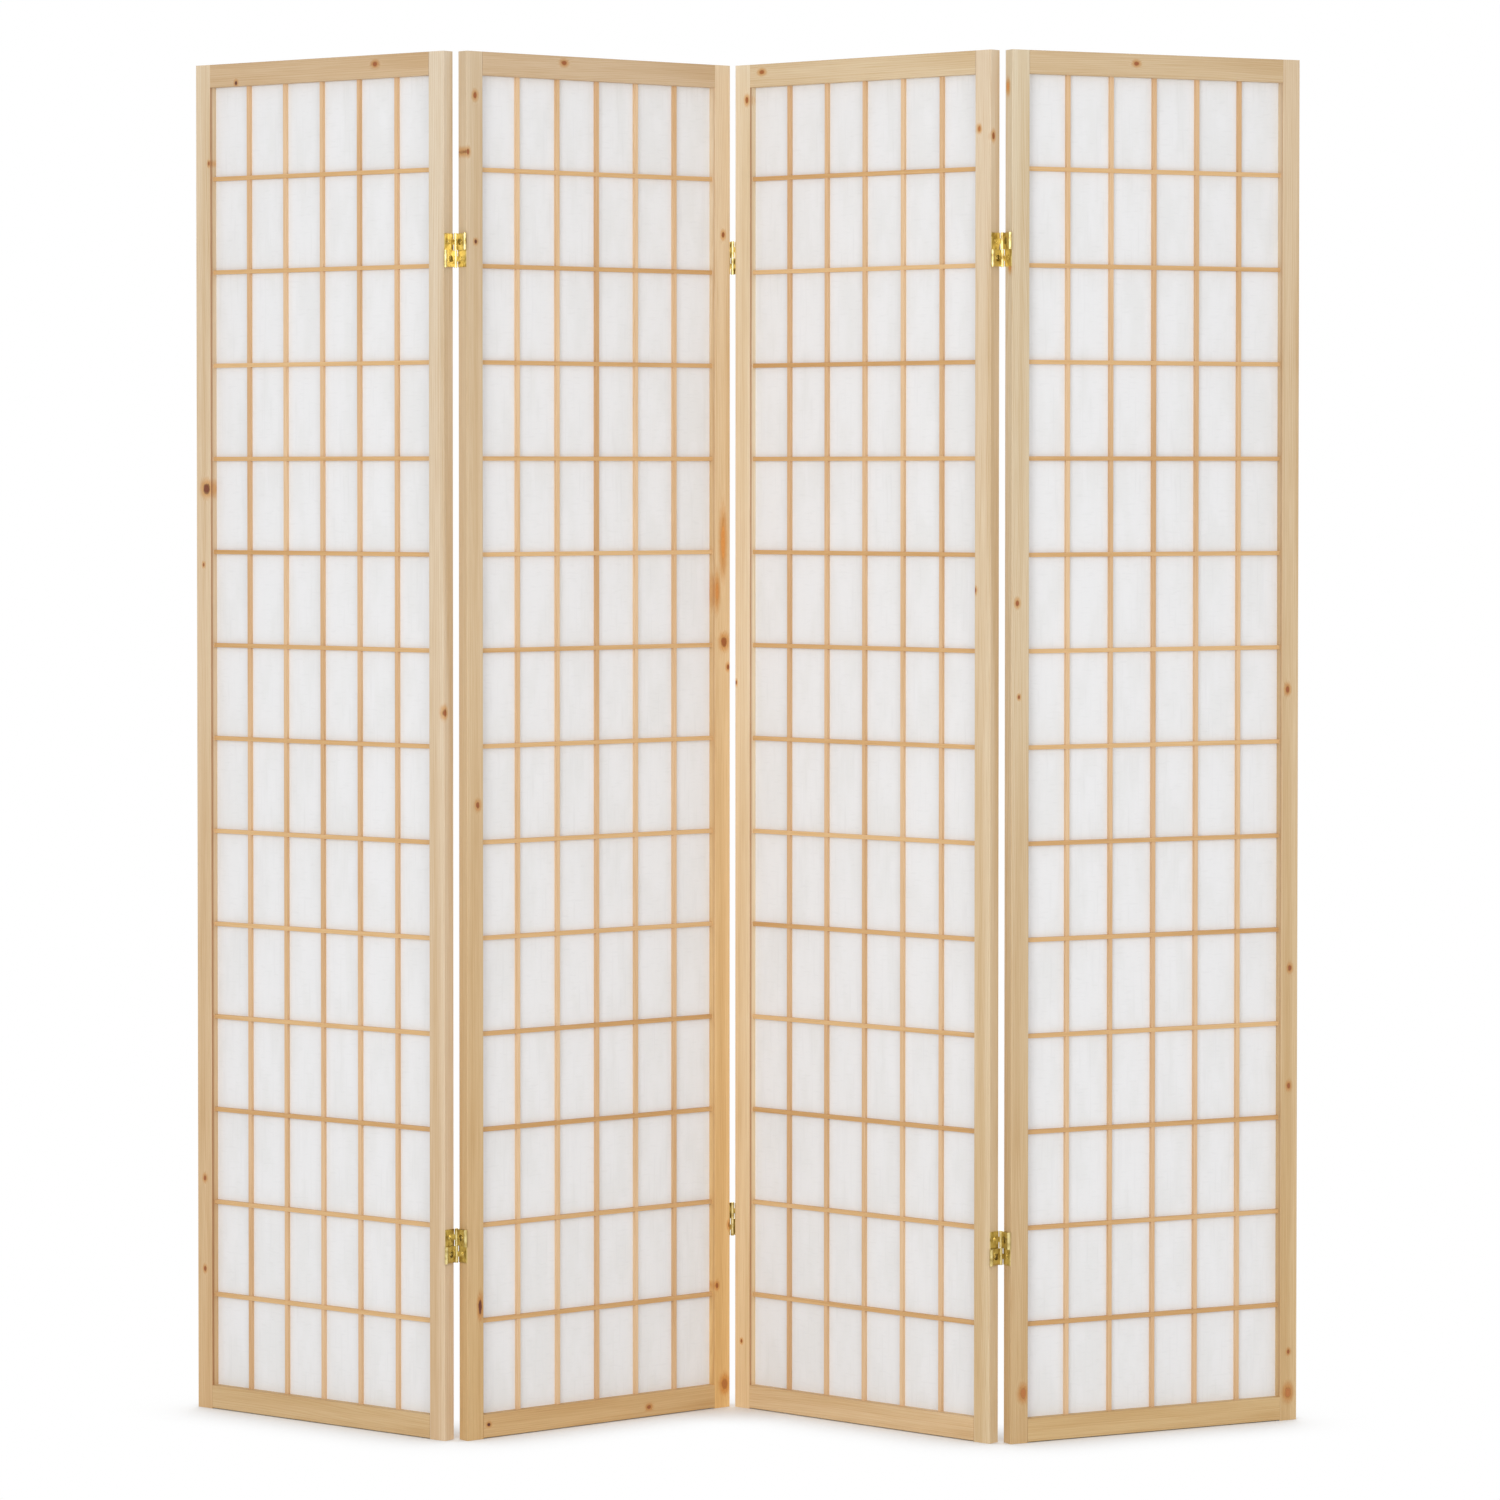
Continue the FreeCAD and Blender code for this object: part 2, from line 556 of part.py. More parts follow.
def add_screws(panel, sides):
    """Cross-head screws, flush in the leaves, two to each leaf."""
    if "right" in sides:
        place = in_panel(panel, shift("Sizes.panel_width / 2", "Sizes.panel_thickness / 2",
                                      "Sizes.bottom_hinge_rise"))
    else:
        place = in_panel(panel, shift("Sizes.panel_width / 2", "Sizes.panel_thickness / 2",
                                      "Sizes.bottom_hinge_rise"), turn("180"))
    body = new_body("hinge_screws_panel_%d" % panel, place)
    profile = new_sketch(body, "Profile", "XZ_Plane")
    add_screw_profile(profile)
    screw = body.newObject("PartDesign::Revolution", "Screw")
    screw.Profile = profile
    screw.ReferenceAxis = (profile, ["Axis0"])
    screw.Angle = 360
    body.Tip = screw
    outer = "Sizes.panel_width / 2 + Sizes.leaf_thickness + Sizes.screw_dome"
    cross = new_sketch(body, "Cross_section", "YZ_Plane", outer)
    long_side = "Sizes.screw_slot_length"
    short_side = "Sizes.screw_slot_width"
    add_rectangle(cross, "-%s / 2" % long_side, "-%s - %s / 2" % (HALF_CENTRE, short_side),
                  long_side, short_side)
    pocket(body, "Slot", cross, "Sizes.screw_slot_depth")
    upright = new_sketch(body, "Upright_slot_section", "YZ_Plane", outer)
    add_rectangle(upright, "-%s / 2" % short_side, "-%s - %s / 2" % (HALF_CENTRE, long_side),
                  short_side, long_side)
    pocket(body, "Upright_slot", upright, "Sizes.screw_slot_depth")
    repeat(body, "Both_halves", [], "Z_Axis", "2 * %s" % HALF_CENTRE, "2")
    both_hinges(body)
    if len(sides) == 2:
        mirror(body, "Both_edges", [], "YZ_Plane")


def add_screw_profile(sketch):
    """Half of a screw's section, turned about a level line at the lower half's centre."""
    points = [(0, 0), (0, 1.5), (14, 1.6), (15, 3), (16, 1), (16, 0)]
    count = len(points)
    corners = [FreeCAD.Vector(x, z - 12, 0) for x, z in points]
    for side in range(count):
        sketch.addGeometry(Part.LineSegment(corners[side], corners[(side + 1) % count]), False)
    for side in range(count):
        following = (side + 1) % count
        sketch.addConstraint(Sketcher.Constraint("Coincident", side, 2, following, 1))
    axis = sketch.addGeometry(Part.LineSegment(corners[0], corners[5]), True)
    sketch.addConstraint(Sketcher.Constraint("Coincident", axis, 1, 0, 1))
    sketch.addConstraint(Sketcher.Constraint("Coincident", axis, 2, 4, 2))
    sketch.addConstraint(Sketcher.Constraint("Vertical", 0))
    sketch.addConstraint(Sketcher.Constraint("Horizontal", 1))
    sketch.addConstraint(Sketcher.Constraint("Vertical", 4))
    sketch.addConstraint(Sketcher.Constraint("Horizontal", 5))
    face = "Sizes.panel_width / 2 + Sizes.leaf_thickness"
    set_distance(sketch, "DistanceX", (-1, 1, 0, 1), "%s - Sizes.screw_length" % face)
    set_distance(sketch, "DistanceY", (-1, 1, 0, 1), "-%s" % HALF_CENTRE)
    set_distance(sketch, "DistanceY", (0, 1, 0, 2), "Sizes.screw_shank_diameter / 2")
    set_distance(sketch, "DistanceX", (1, 2, 2, 2), "Sizes.leaf_thickness")
    set_distance(sketch, "DistanceX", (-1, 1, 2, 2), face)
    set_distance(sketch, "DistanceY", (0, 1, 2, 2), "Sizes.screw_head_diameter / 2")
    set_distance(sketch, "DistanceX", (2, 2, 3, 2), "Sizes.screw_dome")
    set_distance(sketch, "DistanceY", (4, 2, 4, 1), "Sizes.screw_head_diameter / 4")


# ---------------------------------------------------------------- the four panels

HINGED_SIDES = {1: ("right",), 2: ("left", "right"), 3: ("left", "right"), 4: ("left",)}
for panel, hinged_sides in HINGED_SIDES.items():
    for side in ("left", "right"):
        add_stile(panel, side, side in hinged_sides)
    for level in ("top", "bottom"):
        add_rail(panel, level)
    add_dowels(panel)
    add_uprights(panel)
    add_crossbars(panel)
    add_paper(panel)
    for side in hinged_sides:
        add_leaf(panel, side)
    add_pins(panel, hinged_sides)
    add_screws(panel, hinged_sides)

# The link that swings with the right panel at a joint, and the one that stays with the left.
LINK_OWNERS = {1: {"upper": 2, "lower": 1}, 2: {"upper": 2, "lower": 3},
               3: {"upper": 4, "lower": 3}}
for joint, owners in LINK_OWNERS.items():
    for half, owner in owners.items():
        add_link(joint, half, owner)

# ---------------------------------------------------------------- checks and export

doc.recompute()
for item in doc.Objects:
    if "Invalid" in item.State or "Error" in item.State:
        raise RuntimeError("%s did not rebuild" % item.Name)
for node in nodes:
    if node.Shape.isNull() or not node.Shape.isValid():
        raise RuntimeError("%s has no sound shape" % node.Label)
for node in nodes:
    node.Shape.exportStep("parts/%s.step" % node.Label)
    print(node.Label, len(node.Shape.Solids), round(node.Shape.Volume, 1))
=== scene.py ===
import math

import bpy
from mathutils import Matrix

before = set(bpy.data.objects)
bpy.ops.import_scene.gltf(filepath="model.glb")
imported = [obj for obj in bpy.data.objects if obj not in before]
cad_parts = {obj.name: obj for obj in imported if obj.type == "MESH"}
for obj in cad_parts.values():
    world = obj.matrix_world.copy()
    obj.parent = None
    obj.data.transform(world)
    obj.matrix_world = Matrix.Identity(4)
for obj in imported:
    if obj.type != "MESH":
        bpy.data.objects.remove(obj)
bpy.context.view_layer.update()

# ----------------------------------------------------------------------------------------
# Stiles. Every panel has two full-height uprights of pale knotty pine, planed square, the
# edges just eased by sanding, with no varnish. The rails are dowelled between them.
# ----------------------------------------------------------------------------------------

panel_height = 1.780
panel_width = 0.430
panel_thickness = 0.018
millimetre = 0.001

# Where the front left corner of each panel stands, and how far the panel is turned.
panel_places = {
    1: ((-0.724680, 0.137030, 0), -38),
    2: ((-0.356653, -0.127704, 0), 38),
    3: ((-0.010894, 0.136819, 0), -41.5),
    4: ((0.338144, -0.151780, 0), 26),
}


def tone(red, green, blue):
    """A colour read as 0 to 255, turned into the shader's own scale."""
    linear = []
    for part in (red / 255, green / 255, blue / 255):
        linear.append(part / 12.92 if part <= 0.04045 else ((part + 0.055) / 1.055) ** 2.4)
    return (*linear, 1)


def add_node(tree, kind, inputs=(), **settings):
    """One shader node; inputs gives each socket a value or the socket that feeds it."""
    made = tree.nodes.new(kind)
    for name, value in settings.items():
        setattr(made, name, value)
    for socket, value in dict(inputs).items():
        if isinstance(value, bpy.types.NodeSocket):
            tree.links.new(value, made.inputs[socket])
        else:
            made.inputs[socket].default_value = value
    return made


def reckon(tree, operation, *terms, clamp=False):
    sums = add_node(
        tree, "ShaderNodeMath", enumerate(terms), operation=operation, use_clamp=clamp
    )
    return sums.outputs["Value"]


def reckon_vector(tree, operation, *terms):
    sums = add_node(tree, "ShaderNodeVectorMath", enumerate(terms), operation=operation)
    return sums.outputs["Value" if operation == "LENGTH" else "Vector"]


def split(tree, vector):
    return add_node(tree, "ShaderNodeSeparateXYZ", {0: vector}).outputs


def join(tree, *parts):
    return add_node(tree, "ShaderNodeCombineXYZ", enumerate(parts)).outputs["Vector"]


def chance(tree, number):
    """A random value from 0 to 1, always the same one for the same number."""
    given = {"W": number}
    noise = add_node(tree, "ShaderNodeTexWhiteNoise", given, noise_dimensions="1D")
    return noise.outputs["Value"]


def fade(tree, value, start, end):
    """0 at start and 1 at end, easing between them."""
    given = {"Value": value, "From Min": start, "From Max": end}
    ramp = add_node(tree, "ShaderNodeMapRange", given, interpolation_type="SMOOTHSTEP")
    return ramp.outputs["Result"]


def mottle(tree, position, patches, detail=2):
    """Soft random patches, so many in a metre each way."""
    spread = reckon_vector(tree, "MULTIPLY", position, patches)
    given = {"Vector": spread, "Scale": 1, "Detail": detail}
    return add_node(tree, "ShaderNodeTexNoise", given).outputs["Fac"]


def stain(tree, amount, under, over, how="MIX"):
    """Colour over colour; with how as MULTIPLY, over tints what is under it."""
    given = {"Factor": amount, 6: under, 7: over}
    mixed = add_node(tree, "ShaderNodeMix", given, data_type="RGBA", blend_type=how)
    return mixed.outputs[2]


def new_effect(name, inputs, outputs):
    """An empty shader group and the ends of its sockets."""
    group = bpy.data.node_groups.new(name, "ShaderNodeTree")
    for label, kind, value in inputs:
        kind = "NodeSocket" + kind
        socket = group.interface.new_socket(label, in_out="INPUT", socket_type=kind)
        socket.default_value = value
    for label in outputs:
        kind = "NodeSocketVector" if label == "Pulled" else "NodeSocketFloat"
        group.interface.new_socket(label, in_out="OUTPUT", socket_type=kind)
    given = group.nodes.new("NodeGroupInput").outputs
    result = group.nodes.new("NodeGroupOutput").inputs
    return group, given, result


def apply_effect(tree, group, **inputs):
    made = tree.nodes.new("ShaderNodeGroup")
    made.node_tree = group
    for label, value in inputs.items():
        socket = made.inputs[label.replace("_", " ").title()]
        if isinstance(value, bpy.types.NodeSocket):
            tree.links.new(value, socket)
        else:
            socket.default_value = value
    return made.outputs


def new_finish(name):
    finish = bpy.data.materials.new(name)
    finish.use_nodes = True
    return finish, finish.node_tree


def within_panel(tree, point, panel):
    """Where a point lies in its panel: across the front, back from it, and up."""
    corner, turn = panel_places[panel]
    given = {"Vector": point, "Location": corner, "Rotation": (0, 0, math.radians(turn))}
    return add_node(tree, "ShaderNodeMapping", given, vector_type="TEXTURE").outputs["Vector"]


def lay_on(tree, colour, roughness, height, strength, depth):
    """Gives the finish its colour and its roughness, with the height as fine relief."""
    given = {"Strength": strength, "Distance": depth, "Height": height}
    bump = add_node(tree, "ShaderNodeBump", given)
    shader = tree.nodes["Principled BSDF"]
    tree.links.new(colour, shader.inputs["Base Color"])
    tree.links.new(roughness, shader.inputs["Roughness"])
    tree.links.new(bump.outputs["Normal"], shader.inputs["Normal"])


# Growth rings round a pith that lies outside the board, so that the front shows straight
# lines, the edge faces show others that match them, and the ends show arcs.
wander_width = 0.030
ripple_width = 0.0012
rings_astray = 2.2
palest_year = 0.4
growth, given, result = new_effect(
    "growth",
    [
        ("Position", "Vector", (0, 0, 0)),
        ("Pith", "Vector", (0, 0, 0)),
        ("Lean", "Float", 0),
        ("Ring Width", "Float", 0.002),
    ],
    ["Ring", "Fibre", "Drift"],
)
place = given["Position"]
wander = reckon(growth, "SUBTRACT", mottle(growth, place, (4, 4, 1.1), 1), 0.5)
ripple = reckon(growth, "SUBTRACT", mottle(growth, place, (60, 60, 9), 1), 0.5)
rippled = reckon(growth, "MULTIPLY", ripple, ripple_width)
wavy = reckon(growth, "MULTIPLY_ADD", wander, wander_width, rippled)
leaning = reckon(growth, "MULTIPLY", split(growth, place)["Z"], given["Lean"])
shift = reckon(growth, "ADD", wavy, leaning)
shifted = reckon_vector(growth, "ADD", place, join(growth, shift, shift))
from_pith = reckon_vector(growth, "SUBTRACT", shifted, given["Pith"])
level_part = reckon_vector(growth, "MULTIPLY", from_pith, (1, 1, 0))
radius = reckon_vector(growth, "LENGTH", level_part)
even_age = reckon(growth, "DIVIDE", radius, given["Ring Width"])
unevenness = mottle(growth, place, (120, 120, 2), 1)
age = reckon(growth, "MULTIPLY_ADD", unevenness, rings_astray, even_age)
season = reckon(growth, "FRACT", age)
darkening = fade(growth, season, 0.1, 0.85)
ending = fade(growth, season, 1.0, 0.85)
late_wood = reckon(growth, "MULTIPLY", darkening, ending)
year = chance(growth, reckon(growth, "FLOOR", age))
growing = reckon(growth, "MULTIPLY_ADD", year, 1 - palest_year, palest_year)
growth.links.new(reckon(growth, "MULTIPLY", late_wood, growing), result["Ring"])
growth.links.new(mottle(growth, place, (900, 900, 14), 3), result["Fibre"])
growth.links.new(mottle(growth, place, (45, 45, 1.6), 3), result["Drift"])

# One knot: the grain round it is pulled towards it, and Reach is how many knot widths away
# the nearest knot's heart is.
out_of_reach = 10
outline_wobble = 0.7
pull_strength = -0.75
pull_falloff = -0.3
knot, given, result = new_effect(
    "knot",
    [
        ("Position", "Vector", (0, 0, 0)),
        ("Pulled", "Vector", (0, 0, 0)),
        ("Reach", "Float", out_of_reach),
        ("Dark", "Float", 0),
        ("Centre", "Vector", (0, 0, 0)),
        ("Size", "Vector", (1, 1, 1)),
        ("Own Dark", "Float", 0),
    ],
    ["Pulled", "Reach", "Dark"],
)
offset = reckon_vector(knot, "SUBTRACT", given["Position"], given["Centre"])
distance = reckon_vector(knot, "LENGTH", reckon_vector(knot, "DIVIDE", offset, given["Size"]))
uneven = reckon(knot, "SUBTRACT", mottle(knot, given["Position"], (170, 170, 170)), 0.5)
reach = reckon(knot, "MULTIPLY_ADD", uneven, outline_wobble, distance)
squared = reckon(knot, "POWER", distance, 2)
pull = reckon(knot, "EXPONENT", reckon(knot, "MULTIPLY", squared, pull_falloff))
pull = reckon(knot, "MULTIPLY", pull, pull_strength)
pulling = join(knot, pull, pull, pull)
pulled = reckon_vector(knot, "MULTIPLY_ADD", offset, pulling, given["Pulled"])
nearer = reckon(knot, "LESS_THAN", reach, given["Reach"])
darker = reckon(knot, "SUBTRACT", given["Own Dark"], given["Dark"])
knot.links.new(pulled, result["Pulled"])
knot.links.new(reckon(knot, "MINIMUM", reach, given["Reach"]), result["Reach"])
knot.links.new(reckon(knot, "MULTIPLY_ADD", nearer, darker, given["Dark"]), result["Dark"])

# What shows at a knot: its core, the ring of bark round it, the warmer wood beyond, and the
# rings of the branch in the core.
rings_in_knot = 15
knot_marks, given, result = new_effect(
    "knot marks", [("Reach", "Float", out_of_reach)], ["Core", "Bark", "Halo", "Rings"]
)
bark_start = fade(knot_marks, given["Reach"], 0.68, 0.95)
bark_end = fade(knot_marks, given["Reach"], 1.18, 1.0)
turns = reckon(knot_marks, "MULTIPLY", given["Reach"], rings_in_knot)
waves = reckon(knot_marks, "SINE", turns)
knot_marks.links.new(fade(knot_marks, given["Reach"], 1.1, 0.72), result["Core"])
knot_marks.links.new(reckon(knot_marks, "MULTIPLY", bark_start, bark_end), result["Bark"])
knot_marks.links.new(fade(knot_marks, given["Reach"], 2.9, 0.9), result["Halo"])
knot_marks.links.new(reckon(knot_marks, "MULTIPLY_ADD", waves, 0.5, 0.5), result["Rings"])

late_tint = tone(228, 205, 172)
drift_tint = tone(240, 231, 216)
fibre_tint = tone(244, 237, 226)
end_grain_tint = tone(226, 208, 184)
# Painted shade for the inner side of a stile, just behind its front edge.
inner_edge_painted_shade = tone(190, 146, 108)
halo_tint = tone(240, 204, 156)
resin_knot = tone(222, 152, 76)
live_knot = tone(158, 88, 40)
dead_knot = tone(92, 34, 14)
bark_brown = tone(72, 38, 22)
wood_relief = 0.35, 0.0003
knot_through = 60
edge_knot_stretch = 1.6
shade_full = 0.0022
shade_end = 0.0055


def tint_grain(tree, colour, figure, ring_strength, drift_end):
    """The rings, the slow drift of tone and the fine fibres, each over the plain colour."""
    rings = reckon(tree, "MULTIPLY", figure["Ring"], ring_strength)
    drift = fade(tree, figure["Drift"], 0.4, drift_end)
    fibres = fade(tree, figure["Fibre"], 0.35, 0.8)
    colour = stain(tree, rings, colour, late_tint, "MULTIPLY")
    colour = stain(tree, drift, colour, drift_tint, "MULTIPLY")
    return stain(tree, fibres, colour, fibre_tint, "MULTIPLY")


def grain_feel(tree, figure):
    """Roughness and height of planed pine."""
    roughness = reckon(tree, "MULTIPLY_ADD", figure["Fibre"], 0.2, 0.5)
    return roughness, reckon(tree, "MULTIPLY_ADD", figure["Ring"], 0.5, figure["Fibre"])


def turn_grain(tree, position):
    """Swaps across and up, so that the grain runs across."""
    axes = split(tree, position)
    return join(tree, axes["Z"], axes["Y"], axes["X"])


def knotty_pine(
    name, panel, grain, high, low, pith, lean, ring_width, knots, painted_inner_shade=0, ring_strength=0.42
):
    """Pine for one board. Its knots go through from the face, or, with a depth, lie in an edge:
    millimetres across and up, half width, half height, darkness, and depth from the front.
    Inner shade above 0 paints shade on the side that faces right, below 0 on the left one."""
    finish, tree = new_finish(name)
    surface = add_node(tree, "ShaderNodeTexCoord").outputs
    position = within_panel(tree, surface["Object"], panel)

    pulled, reach, dark = position, out_of_reach, 0
    for across, up, half_width, half_height, own_dark, *depth in knots:
        if depth:
            centre = (across, depth[0], up)
            size = (half_width * edge_knot_stretch, half_width, half_height)
        else:
            centre = (across, panel_thickness / millimetre / 2, up)
            size = (half_width, knot_through, half_height)
        spot = apply_effect(
            tree,
            knot,
            position=position,
            pulled=pulled,
            reach=reach,
            dark=dark,
            centre=[length * millimetre for length in centre],
            size=[length * millimetre for length in size],
            own_dark=own_dark,
        )
        pulled, reach, dark = spot["Pulled"], spot["Reach"], spot["Dark"]

    if grain == "across":
        pulled = turn_grain(tree, pulled)
    figure = apply_effect(
        tree, growth, position=pulled, pith=(*pith, 0), lean=lean, ring_width=ring_width
    )

    # Painted light and shade: the colour runs from the floor tone up to the lighter top tone.
    level = reckon(tree, "DIVIDE", split(tree, position)["Z"], panel_height, clamp=True)
    colour = stain(tree, level, low, high)
    colour = tint_grain(tree, colour, figure, ring_strength, 0.72)
    if grain == "up":
        facing = reckon(tree, "ABSOLUTE", split(tree, surface["Normal"])["Z"])
        colour = stain(tree, fade(tree, facing, 0.6, 0.95), colour, end_grain_tint, "MULTIPLY")
    # Painted shade: the inner side face is darkened just behind the front edge, where shade falls.
    if painted_inner_shade:
        given = {"Vector": surface["Normal"], "Angle": -math.radians(panel_places[panel][1])}
        inward = add_node(tree, "ShaderNodeVectorRotate", given, rotation_type="Z_AXIS")
        side = split(tree, inward.outputs["Vector"])["X"]
        side = reckon(tree, "MULTIPLY", side, math.copysign(1, painted_inner_shade))
        front = fade(tree, split(tree, position)["Y"], shade_end, shade_full)
        shaded = reckon(tree, "MULTIPLY", fade(tree, side, 0.5, 0.95), front)
        shaded = reckon(tree, "MULTIPLY", shaded, abs(painted_inner_shade))
        colour = stain(tree, shaded, colour, inner_edge_painted_shade, "MULTIPLY")
    roughness, relief = grain_feel(tree, figure)
    if knots:
        marks = apply_effect(tree, knot_marks, reach=reach)
        colour = stain(tree, marks["Halo"], colour, halo_tint, "MULTIPLY")
        heart = stain(tree, fade(tree, dark, 0, 0.5), resin_knot, live_knot)
        heart = stain(tree, fade(tree, dark, 0.5, 1), heart, dead_knot)
        branch = reckon(tree, "MULTIPLY", marks["Rings"], 0.4)
        heart = stain(tree, branch, heart, late_tint, "MULTIPLY")
        colour = stain(tree, marks["Core"], colour, heart)
        bark = reckon(tree, "MULTIPLY", marks["Bark"], reckon(tree, "MULTIPLY", dark, 0.6))
        colour = stain(tree, bark, colour, bark_brown)
        roughness = reckon(tree, "MULTIPLY_ADD", marks["Core"], -0.15, roughness)
        relief = reckon(tree, "MULTIPLY_ADD", marks["Core"], 0.4, relief)
    lay_on(tree, colour, roughness, relief, *wood_relief)
    return finish


def finish_node(name, finish):
    """Gives a part of the frame its finish, in every material slot that it has."""
    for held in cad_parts[name].material_slots:
        held.material = finish


# How dark the painted shade is on the strip behind the front edge, on the side facing the lattice.
inner_shades = {"left": 0.75, "right": -0.3}

# Panel, side, colour at the top and at the floor, pith, lean, ring width, knots.
stiles = [
    (1, "left", (228, 211, 185), (213, 180, 135), (70, 60), 0.004, 1.9, [
        (23.1, 1650, 1.6, 2.6, 0.5),
        (18.2, 1220.7, 5.6, 6.6, 0.8),
        (12.5, 1120, 1.6, 2.4, 0.6),
        (12.8, 305.9, 2.2, 3.2, 0.5),
        (12.8, 185.2, 2.0, 3.0, 0.6),
    ]),
    (1, "right", (224, 209, 186), (223, 199, 167), (350, 75), -0.003, 2.1, [
        (430, 935, 2.6, 5, 0.5, 1.8),
    ]),
    (2, "left", (218, 200, 173), (213, 180, 129), (-60, 70), 0.005, 1.7, [
        (13.4, 1723.8, 2.6, 4, 0.5),
        (2.1, 1651.4, 2.2, 3.6, 0.5),
        (14.3, 1537.2, 2.0, 2.6, 0.9),
        (16.8, 815.7, 2.6, 4, 0.6),
        (20.0, 170.7, 2.6, 9, 0.9),
    ]),
    (2, "right", (229, 208, 177), (238, 200, 138), (500, 50), 0.008, 2.3, [
        (418.3, 1556.2, 2.4, 3.6, 0.6),
        (418.3, 1150, 3.4, 24, 0.0),
        (408.2, 1084.3, 2.6, 13, 0.12),
        (420, 1017.8, 4.6, 6.4, 0.45),
        (426.8, 984.4, 2.2, 3.2, 0.5),
        (430, 242.4, 2.6, 4, 0.5),
        (408.2, 163.5, 2.2, 3.4, 0.5),
        (421.2, 31.0, 4.6, 7, 0.3),
    ]),
    (3, "left", (238, 226, 203), (236, 209, 166), (-75, 55), -0.006, 2.0, [
        (20.2, 1733.5, 2.6, 4, 0.4),
        (1.6, 963.4, 1.6, 2.6, 0.6),
        (11.4, 88.4, 1.6, 2.4, 0.6),
    ]),
    (3, "right", (225, 207, 181), (223, 201, 164), (490, 80), 0.003, 1.8, [
        (411, 1680, 2.2, 3.4, 0.3),
        (404.9, 1091.7, 2.0, 3.0, 0.6),
        (430, 1670.5, 2.4, 4.4, 0.5, 5.2),
    ]),
    (4, "left", (224, 211, 186), (207, 176, 130), (85, 60), 0.005, 2.2, [
        (0, 1733, 3.0, 6, 0.1, 11.2),
        (0, 1504, 2.6, 5, 0.1, 6.0),
        (8.3, 1075.6, 2.4, 3.8, 0.5),
        (10.8, 955.7, 1.6, 2.4, 0.6),
        (18.5, 64.1, 4.2, 6.5, 0.3),
    ]),
    (4, "right", (218, 197, 167), (216, 188, 143), (340, 65), -0.004, 1.9, [
        (413.6, 958.8, 2.8, 4.2, 0.5),
        (418.2, 593.7, 2.4, 3.6, 0.6),
        (416.6, 439.4, 2.4, 3.6, 0.5),
        (417.3, 90, 1.8, 2.6, 0.6),
        (416.6, 36.5, 4.4, 6.5, 0.3),
    ]),
]
for panel, side, high, low, pith, lean, ring_width, knots in stiles:
    name = f"{side}_stile_panel_{panel}"
    finish = knotty_pine(
        name.replace("_", " ") + " pine",
        panel,
        "up",
        tone(*high),
        tone(*low),
        [length * millimetre for length in pith],
        lean,
        ring_width * millimetre,
        knots,
        painted_inner_shade=inner_shades[side],
    )
    finish_node(name, finish)

# ----------------------------------------------------------------------------------------
# Rails. A top and a bottom rail of the same pine lie between the stiles of each panel, with
# their grain running across, and are glued and dowelled at the corners.
# ----------------------------------------------------------------------------------------

# Panel, end, colour, height and depth of the pith, lean, ring width, knots.
rails = [
    (1, "top", (209, 182, 146), (1700, 60), 0.010, 2.0, [
        (71.9, 1754.1, 2.0, 2.6, 1.0),
        (314.0, 1768.3, 3.6, 2.8, 0.5),
    ]),
    (1, "bottom", (213, 184, 139), (90, 50), 0.012, 2.2, []),
    (2, "top", (210, 185, 152), (1830, 50), -0.012, 1.9, [(155.7, 1771.3, 3.8, 2.8, 0.5)]),
    (2, "bottom", (212, 178, 128), (-40, 60), -0.008, 2.1, [
        (33.7, 17.9, 2.4, 2.2, 1.0),
        (294.2, 13.4, 3.4, 2.6, 0.5),
    ]),
    (3, "top", (220, 199, 165), (1705, 55), 0.014, 2.1, [(46.3, 1769.5, 4, 2.6, 0.4)]),
    (3, "bottom", (222, 193, 151), (85, 65), -0.010, 2.0, []),
    (4, "top", (212, 188, 152), (1840, 60), 0.010, 2.2, [(183, 1767.5, 3.4, 2.6, 0.5)]),
    (4, "bottom", (213, 183, 134), (-45, 50), 0.009, 1.9, []),
]
for panel, end, colour, pith, lean, ring_width, knots in rails:
    name = f"{end}_rail_panel_{panel}"
    finish = knotty_pine(
        name.replace("_", " ") + " pine",
        panel,
        "across",
        tone(*colour),
        tone(*colour),
        [length * millimetre for length in pith],
        lean,
        ring_width * millimetre,
        knots,
    )
    finish_node(name, finish)

# ----------------------------------------------------------------------------------------
# Dowels. Eight plain beech pegs in each panel, two to a corner. Half of each is in the rail
# and half in the stile, so none shows while the frame is together.
# ----------------------------------------------------------------------------------------

beech = tone(222, 188, 150)
beech_pith = 0.9, 0.05
beech_ring_width = 0.0011
for panel in panel_places:
    name = f"corner_dowels_panel_{panel}"
    finish = knotty_pine(
        f"corner dowels panel {panel} beech",
        panel,
        "across",
        beech,
        beech,
        beech_pith,
        0,
        beech_ring_width,
        [],
        ring_strength=0.3,
    )
    finish_node(name, finish)

# ----------------------------------------------------------------------------------------
# Lattice. Five slim uprights and thirteen crossbars of warmer pine, halved into each other
# and let in between the frame's members, set back from its front.
# ----------------------------------------------------------------------------------------

stile_width = 0.0255
rail_height = 0.030
floor_gap = 0.001
bar_width = 0.0055
bays_across = 6
bays_up = 14
opening_width = panel_width - 2 * stile_width
opening_height = panel_height - 2 * rail_height - floor_gap
upright_tones = tone(232, 201, 163), tone(219, 181, 138)
crossbar_tones = tone(228, 192, 142), tone(216, 175, 121)
bar_seed = 31
crossbar_seed = 500


